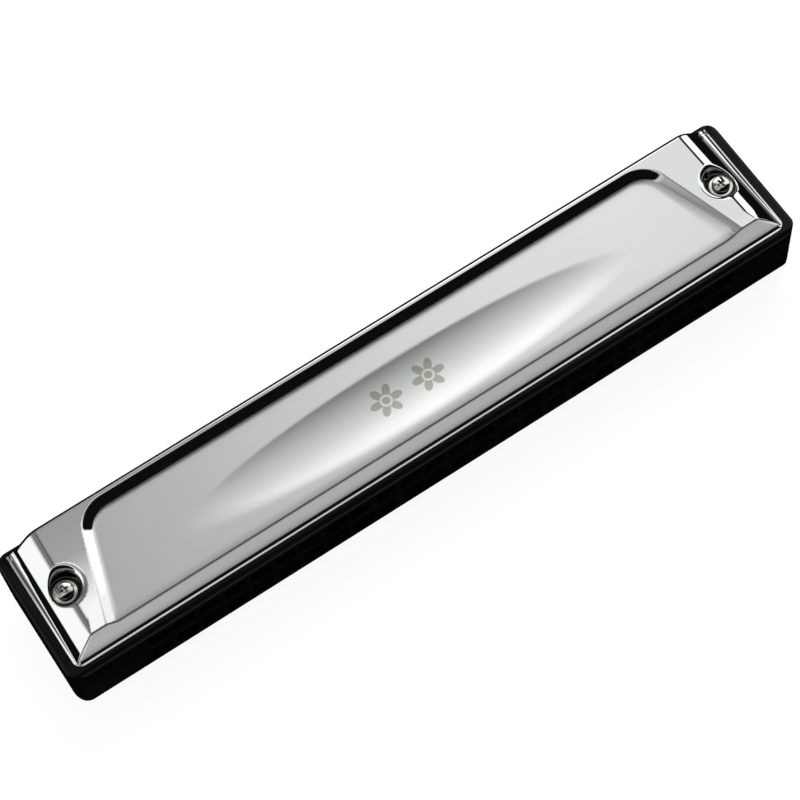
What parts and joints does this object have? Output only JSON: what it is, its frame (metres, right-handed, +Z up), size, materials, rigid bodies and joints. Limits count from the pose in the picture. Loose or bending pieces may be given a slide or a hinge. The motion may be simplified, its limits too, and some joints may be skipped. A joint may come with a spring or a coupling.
{
  "type": "tremolo harmonica",
  "caption": "Tremolo harmonica: black comb with paired rows of mouth holes, sprung brass reeds on two plates, and chromed pressed covers screwed on at the ends.",
  "frame": {"origin": "on the plane that the lower cover rests on, under the middle of the body's length and depth", "axes": "+X along the row of holes to the high notes, -Y out of the mouth holes, +Z up out of the upper cover"},
  "size_m": [0.1844, 0.033, 0.0268],
  "materials": {
    "comb_plastic": "glossy black moulded plastic",
    "plate_brass": "rolled brass",
    "reed_brass": "filed and polished phosphor bronze",
    "rivet_brass": "pressed brass",
    "nail_steel": "plated steel",
    "cover_chrome": "chrome plate, bright on the ears and slopes and satin on the sunk panel",
    "screw_steel": "nickel-plated steel"
  },
  "bodies": {
    "harmonica": {"comb": "comb_plastic", "upper_reed_plate": "plate_brass", "lower_reed_plate": "plate_brass", "upper_cover": "cover_chrome", "lower_cover": "cover_chrome", "cover_screws": "screw_steel", "cover_washers": "screw_steel", "upper_reed_rivets": "rivet_brass", "lower_reed_rivets": "rivet_brass", "upper_plate_nails": "nail_steel", "lower_plate_nails": "nail_steel"},
    "upper_reed_01": {"upper_reed_01": "reed_brass"},
    "upper_reed_02": {"upper_reed_02": "reed_brass"},
    "upper_reed_03": {"upper_reed_03": "reed_brass"},
    "upper_reed_04": {"upper_reed_04": "reed_brass"},
    "upper_reed_05": {"upper_reed_05": "reed_brass"},
    "upper_reed_06": {"upper_reed_06": "reed_brass"},
    "upper_reed_07": {"upper_reed_07": "reed_brass"},
    "upper_reed_08": {"upper_reed_08": "reed_brass"},
    "upper_reed_09": {"upper_reed_09": "reed_brass"},
    "upper_reed_10": {"upper_reed_10": "reed_brass"},
    "upper_reed_11": {"upper_reed_11": "reed_brass"},
    "upper_reed_12": {"upper_reed_12": "reed_brass"},
    "upper_reed_13": {"upper_reed_13": "reed_brass"},
    "upper_reed_14": {"upper_reed_14": "reed_brass"},
    "upper_reed_15": {"upper_reed_15": "reed_brass"},
    "upper_reed_16": {"upper_reed_16": "reed_brass"},
    "upper_reed_17": {"upper_reed_17": "reed_brass"},
    "upper_reed_18": {"upper_reed_18": "reed_brass"},
    "upper_reed_19": {"upper_reed_19": "reed_brass"},
    "upper_reed_20": {"upper_reed_20": "reed_brass"},
    "upper_reed_21": {"upper_reed_21": "reed_brass"},
    "upper_reed_22": {"upper_reed_22": "reed_brass"},
    "upper_reed_23": {"upper_reed_23": "reed_brass"},
    "upper_reed_24": {"upper_reed_24": "reed_brass"},
    "lower_reed_01": {"lower_reed_01": "reed_brass"},
    "lower_reed_02": {"lower_reed_02": "reed_brass"},
    "lower_reed_03": {"lower_reed_03": "reed_brass"},
    "lower_reed_04": {"lower_reed_04": "reed_brass"},
    "lower_reed_05": {"lower_reed_05": "reed_brass"},
    "lower_reed_06": {"lower_reed_06": "reed_brass"},
    "lower_reed_07": {"lower_reed_07": "reed_brass"},
    "lower_reed_08": {"lower_reed_08": "reed_brass"},
    "lower_reed_09": {"lower_reed_09": "reed_brass"},
    "lower_reed_10": {"lower_reed_10": "reed_brass"},
    "lower_reed_11": {"lower_reed_11": "reed_brass"},
    "lower_reed_12": {"lower_reed_12": "reed_brass"},
    "lower_reed_13": {"lower_reed_13": "reed_brass"},
    "lower_reed_14": {"lower_reed_14": "reed_brass"},
    "lower_reed_15": {"lower_reed_15": "reed_brass"},
    "lower_reed_16": {"lower_reed_16": "reed_brass"},
    "lower_reed_17": {"lower_reed_17": "reed_brass"},
    "lower_reed_18": {"lower_reed_18": "reed_brass"},
    "lower_reed_19": {"lower_reed_19": "reed_brass"},
    "lower_reed_20": {"lower_reed_20": "reed_brass"},
    "lower_reed_21": {"lower_reed_21": "reed_brass"},
    "lower_reed_22": {"lower_reed_22": "reed_brass"},
    "lower_reed_23": {"lower_reed_23": "reed_brass"},
    "lower_reed_24": {"lower_reed_24": "reed_brass"}
  },
  "joints": [
    {"name": "upper_reed_01_swing", "type": "hinge", "parent": "harmonica", "child": "upper_reed_01", "pos_m": [-0.07187, 0.01035, 0.01992], "axis": [1, 0, 0], "range_deg": [-2.5, 2.5], "stiffness_Nm_per_rad": 0.0549},
    {"name": "upper_reed_02_swing", "type": "hinge", "parent": "harmonica", "child": "upper_reed_02", "pos_m": [-0.06563, -0.01133, 0.02158], "axis": [1, 0, 0], "range_deg": [-2.5, 2.5], "stiffness_Nm_per_rad": 0.0557},
    {"name": "upper_reed_03_swing", "type": "hinge", "parent": "harmonica", "child": "upper_reed_03", "pos_m": [-0.05937, 0.00992, 0.01992], "axis": [1, 0, 0], "range_deg": [-2.5, 2.5], "stiffness_Nm_per_rad": 0.0566},
    {"name": "upper_reed_04_swing", "type": "hinge", "parent": "harmonica", "child": "upper_reed_04", "pos_m": [-0.05312, -0.0109, 0.02158], "axis": [1, 0, 0], "range_deg": [-2.5, 2.5], "stiffness_Nm_per_rad": 0.0576},
    {"name": "upper_reed_05_swing", "type": "hinge", "parent": "harmonica", "child": "upper_reed_05", "pos_m": [-0.04688, 0.00948, 0.01992], "axis": [1, 0, 0], "range_deg": [-2.5, 2.5], "stiffness_Nm_per_rad": 0.0586},
    {"name": "upper_reed_06_swing", "type": "hinge", "parent": "harmonica", "child": "upper_reed_06", "pos_m": [-0.04063, -0.01046, 0.02158], "axis": [1, 0, 0], "range_deg": [-2.5, 2.5], "stiffness_Nm_per_rad": 0.0596},
    {"name": "upper_reed_07_swing", "type": "hinge", "parent": "harmonica", "child": "upper_reed_07", "pos_m": [-0.03438, 0.00905, 0.01992], "axis": [1, 0, 0], "range_deg": [-2.5, 2.5], "stiffness_Nm_per_rad": 0.0607},
    {"name": "upper_reed_08_swing", "type": "hinge", "parent": "harmonica", "child": "upper_reed_08", "pos_m": [-0.02813, -0.01003, 0.02158], "axis": [1, 0, 0], "range_deg": [-2.5, 2.5], "stiffness_Nm_per_rad": 0.0619},
    {"name": "upper_reed_09_swing", "type": "hinge", "parent": "harmonica", "child": "upper_reed_09", "pos_m": [-0.02187, 0.00861, 0.01992], "axis": [1, 0, 0], "range_deg": [-2.5, 2.5], "stiffness_Nm_per_rad": 0.0631},
    {"name": "upper_reed_10_swing", "type": "hinge", "parent": "harmonica", "child": "upper_reed_10", "pos_m": [-0.01562, -0.00959, 0.02158], "axis": [1, 0, 0], "range_deg": [-2.5, 2.5], "stiffness_Nm_per_rad": 0.0644},
    {"name": "upper_reed_11_swing", "type": "hinge", "parent": "harmonica", "child": "upper_reed_11", "pos_m": [-0.00937, 0.00818, 0.01992], "axis": [1, 0, 0], "range_deg": [-2.5, 2.5], "stiffness_Nm_per_rad": 0.0658},
    {"name": "upper_reed_12_swing", "type": "hinge", "parent": "harmonica", "child": "upper_reed_12", "pos_m": [-0.00313, -0.00916, 0.02158], "axis": [1, 0, 0], "range_deg": [-2.5, 2.5], "stiffness_Nm_per_rad": 0.0672},
    {"name": "upper_reed_13_swing", "type": "hinge", "parent": "harmonica", "child": "upper_reed_13", "pos_m": [0.00313, 0.00774, 0.01992], "axis": [1, 0, 0], "range_deg": [-2.5, 2.5], "stiffness_Nm_per_rad": 0.0688},
    {"name": "upper_reed_14_swing", "type": "hinge", "parent": "harmonica", "child": "upper_reed_14", "pos_m": [0.00937, -0.00872, 0.02158], "axis": [1, 0, 0], "range_deg": [-2.5, 2.5], "stiffness_Nm_per_rad": 0.0705},
    {"name": "upper_reed_15_swing", "type": "hinge", "parent": "harmonica", "child": "upper_reed_15", "pos_m": [0.01562, 0.00731, 0.01992], "axis": [1, 0, 0], "range_deg": [-2.5, 2.5], "stiffness_Nm_per_rad": 0.0722},
    {"name": "upper_reed_16_swing", "type": "hinge", "parent": "harmonica", "child": "upper_reed_16", "pos_m": [0.02187, -0.00829, 0.02158], "axis": [1, 0, 0], "range_deg": [-2.5, 2.5], "stiffness_Nm_per_rad": 0.0742},
    {"name": "upper_reed_17_swing", "type": "hinge", "parent": "harmonica", "child": "upper_reed_17", "pos_m": [0.02813, 0.00687, 0.01992], "axis": [1, 0, 0], "range_deg": [-2.5, 2.5], "stiffness_Nm_per_rad": 0.0762},
    {"name": "upper_reed_18_swing", "type": "hinge", "parent": "harmonica", "child": "upper_reed_18", "pos_m": [0.03438, -0.00785, 0.02158], "axis": [1, 0, 0], "range_deg": [-2.5, 2.5], "stiffness_Nm_per_rad": 0.0784},
    {"name": "upper_reed_19_swing", "type": "hinge", "parent": "harmonica", "child": "upper_reed_19", "pos_m": [0.04063, 0.00644, 0.01992], "axis": [1, 0, 0], "range_deg": [-2.5, 2.5], "stiffness_Nm_per_rad": 0.0808},
    {"name": "upper_reed_20_swing", "type": "hinge", "parent": "harmonica", "child": "upper_reed_20", "pos_m": [0.04688, -0.00742, 0.02158], "axis": [1, 0, 0], "range_deg": [-2.5, 2.5], "stiffness_Nm_per_rad": 0.0834},
    {"name": "upper_reed_21_swing", "type": "hinge", "parent": "harmonica", "child": "upper_reed_21", "pos_m": [0.05312, 0.006, 0.01992], "axis": [1, 0, 0], "range_deg": [-2.5, 2.5], "stiffness_Nm_per_rad": 0.0863},
    {"name": "upper_reed_22_swing", "type": "hinge", "parent": "harmonica", "child": "upper_reed_22", "pos_m": [0.05937, -0.00698, 0.02158], "axis": [1, 0, 0], "range_deg": [-2.5, 2.5], "stiffness_Nm_per_rad": 0.0894},
    {"name": "upper_reed_23_swing", "type": "hinge", "parent": "harmonica", "child": "upper_reed_23", "pos_m": [0.06563, 0.00557, 0.01992], "axis": [1, 0, 0], "range_deg": [-2.5, 2.5], "stiffness_Nm_per_rad": 0.0928},
    {"name": "upper_reed_24_swing", "type": "hinge", "parent": "harmonica", "child": "upper_reed_24", "pos_m": [0.07187, -0.00655, 0.02158], "axis": [1, 0, 0], "range_deg": [-2.5, 2.5], "stiffness_Nm_per_rad": 0.0965},
    {"name": "lower_reed_01_swing", "type": "hinge", "parent": "harmonica", "child": "lower_reed_01", "pos_m": [-0.07187, 0.01035, 0.00688], "axis": [1, 0, 0], "range_deg": [-2.5, 2.5], "stiffness_Nm_per_rad": 0.0549},
    {"name": "lower_reed_02_swing", "type": "hinge", "parent": "harmonica", "child": "lower_reed_02", "pos_m": [-0.06563, -0.01133, 0.00522], "axis": [1, 0, 0], "range_deg": [-2.5, 2.5], "stiffness_Nm_per_rad": 0.0557},
    {"name": "lower_reed_03_swing", "type": "hinge", "parent": "harmonica", "child": "lower_reed_03", "pos_m": [-0.05937, 0.00992, 0.00688], "axis": [1, 0, 0], "range_deg": [-2.5, 2.5], "stiffness_Nm_per_rad": 0.0566},
    {"name": "lower_reed_04_swing", "type": "hinge", "parent": "harmonica", "child": "lower_reed_04", "pos_m": [-0.05312, -0.0109, 0.00522], "axis": [1, 0, 0], "range_deg": [-2.5, 2.5], "stiffness_Nm_per_rad": 0.0576},
    {"name": "lower_reed_05_swing", "type": "hinge", "parent": "harmonica", "child": "lower_reed_05", "pos_m": [-0.04688, 0.00948, 0.00688], "axis": [1, 0, 0], "range_deg": [-2.5, 2.5], "stiffness_Nm_per_rad": 0.0586},
    {"name": "lower_reed_06_swing", "type": "hinge", "parent": "harmonica", "child": "lower_reed_06", "pos_m": [-0.04063, -0.01046, 0.00522], "axis": [1, 0, 0], "range_deg": [-2.5, 2.5], "stiffness_Nm_per_rad": 0.0596},
    {"name": "lower_reed_07_swing", "type": "hinge", "parent": "harmonica", "child": "lower_reed_07", "pos_m": [-0.03438, 0.00905, 0.00688], "axis": [1, 0, 0], "range_deg": [-2.5, 2.5], "stiffness_Nm_per_rad": 0.0607},
    {"name": "lower_reed_08_swing", "type": "hinge", "parent": "harmonica", "child": "lower_reed_08", "pos_m": [-0.02813, -0.01003, 0.00522], "axis": [1, 0, 0], "range_deg": [-2.5, 2.5], "stiffness_Nm_per_rad": 0.0619},
    {"name": "lower_reed_09_swing", "type": "hinge", "parent": "harmonica", "child": "lower_reed_09", "pos_m": [-0.02187, 0.00861, 0.00688], "axis": [1, 0, 0], "range_deg": [-2.5, 2.5], "stiffness_Nm_per_rad": 0.0631},
    {"name": "lower_reed_10_swing", "type": "hinge", "parent": "harmonica", "child": "lower_reed_10", "pos_m": [-0.01562, -0.00959, 0.00522], "axis": [1, 0, 0], "range_deg": [-2.5, 2.5], "stiffness_Nm_per_rad": 0.0644},
    {"name": "lower_reed_11_swing", "type": "hinge", "parent": "harmonica", "child": "lower_reed_11", "pos_m": [-0.00937, 0.00818, 0.00688], "axis": [1, 0, 0], "range_deg": [-2.5, 2.5], "stiffness_Nm_per_rad": 0.0658},
    {"name": "lower_reed_12_swing", "type": "hinge", "parent": "harmonica", "child": "lower_reed_12", "pos_m": [-0.00313, -0.00916, 0.00522], "axis": [1, 0, 0], "range_deg": [-2.5, 2.5], "stiffness_Nm_per_rad": 0.0672},
    {"name": "lower_reed_13_swing", "type": "hinge", "parent": "harmonica", "child": "lower_reed_13", "pos_m": [0.00313, 0.00774, 0.00688], "axis": [1, 0, 0], "range_deg": [-2.5, 2.5], "stiffness_Nm_per_rad": 0.0688},
    {"name": "lower_reed_14_swing", "type": "hinge", "parent": "harmonica", "child": "lower_reed_14", "pos_m": [0.00937, -0.00872, 0.00522], "axis": [1, 0, 0], "range_deg": [-2.5, 2.5], "stiffness_Nm_per_rad": 0.0705},
    {"name": "lower_reed_15_swing", "type": "hinge", "parent": "harmonica", "child": "lower_reed_15", "pos_m": [0.01562, 0.00731, 0.00688], "axis": [1, 0, 0], "range_deg": [-2.5, 2.5], "stiffness_Nm_per_rad": 0.0722},
    {"name": "lower_reed_16_swing", "type": "hinge", "parent": "harmonica", "child": "lower_reed_16", "pos_m": [0.02187, -0.00829, 0.00522], "axis": [1, 0, 0], "range_deg": [-2.5, 2.5], "stiffness_Nm_per_rad": 0.0742},
    {"name": "lower_reed_17_swing", "type": "hinge", "parent": "harmonica", "child": "lower_reed_17", "pos_m": [0.02813, 0.00687, 0.00688], "axis": [1, 0, 0], "range_deg": [-2.5, 2.5], "stiffness_Nm_per_rad": 0.0762},
    {"name": "lower_reed_18_swing", "type": "hinge", "parent": "harmonica", "child": "lower_reed_18", "pos_m": [0.03438, -0.00785, 0.00522], "axis": [1, 0, 0], "range_deg": [-2.5, 2.5], "stiffness_Nm_per_rad": 0.0784},
    {"name": "lower_reed_19_swing", "type": "hinge", "parent": "harmonica", "child": "lower_reed_19", "pos_m": [0.04063, 0.00644, 0.00688], "axis": [1, 0, 0], "range_deg": [-2.5, 2.5], "stiffness_Nm_per_rad": 0.0808},
    {"name": "lower_reed_20_swing", "type": "hinge", "parent": "harmonica", "child": "lower_reed_20", "pos_m": [0.04688, -0.00742, 0.00522], "axis": [1, 0, 0], "range_deg": [-2.5, 2.5], "stiffness_Nm_per_rad": 0.0834},
    {"name": "lower_reed_21_swing", "type": "hinge", "parent": "harmonica", "child": "lower_reed_21", "pos_m": [0.05312, 0.006, 0.00688], "axis": [1, 0, 0], "range_deg": [-2.5, 2.5], "stiffness_Nm_per_rad": 0.0863},
    {"name": "lower_reed_22_swing", "type": "hinge", "parent": "harmonica", "child": "lower_reed_22", "pos_m": [0.05937, -0.00698, 0.00522], "axis": [1, 0, 0], "range_deg": [-2.5, 2.5], "stiffness_Nm_per_rad": 0.0894},
    {"name": "lower_reed_23_swing", "type": "hinge", "parent": "harmonica", "child": "lower_reed_23", "pos_m": [0.06563, 0.00557, 0.00688], "axis": [1, 0, 0], "range_deg": [-2.5, 2.5], "stiffness_Nm_per_rad": 0.0928},
    {"name": "lower_reed_24_swing", "type": "hinge", "parent": "harmonica", "child": "lower_reed_24", "pos_m": [0.07187, -0.00655, 0.00522], "axis": [1, 0, 0], "range_deg": [-2.5, 2.5], "stiffness_Nm_per_rad": 0.0965}
  ]
}
